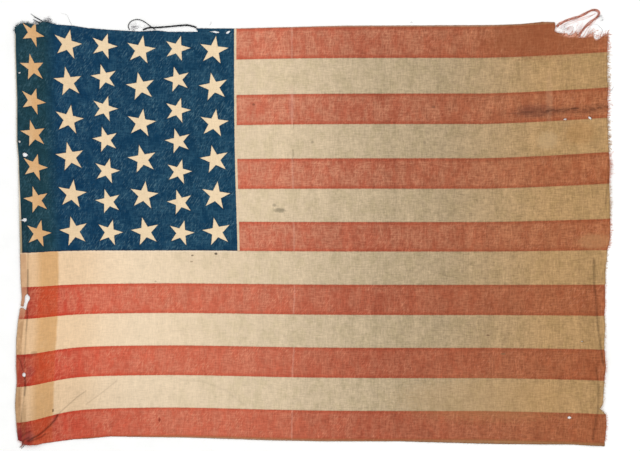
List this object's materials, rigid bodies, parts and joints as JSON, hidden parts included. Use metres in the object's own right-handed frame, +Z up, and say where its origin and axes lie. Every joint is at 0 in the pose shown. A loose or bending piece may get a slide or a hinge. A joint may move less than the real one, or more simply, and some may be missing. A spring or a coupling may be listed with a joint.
{
  "type": "tattered flag",
  "caption": "Worn and torn rectangular cloth flag lying flat, with stripes, a starred corner field, a narrow turned hoist hem and a ravelled fly end.",
  "frame": {"origin": "bottom centre of the cloth's bounding box, on the surface that it lies on", "axes": "+X from the hoist edge to the fly end, +Y up the flag towards the edge above the starred field, +Z up from the surface, through the cloth's printed face"},
  "size_m": [1.0199, 0.747, 0.0075],
  "materials": {
    "wool_bunting": "thin open plain weave, dyed red, cream and blue, faded and stained",
    "blue_yarn": "fuzzy single wool yarn, dull dark blue",
    "red_yarn": "fuzzy loose wool yarns, dull dark red"
  },
  "bodies": {
    "root": {"cloth": "wool_bunting", "selvedge_yarn": "blue_yarn", "navy_yarn": "blue_yarn", "red_yarn": "red_yarn"}
  },
  "joints": []
}
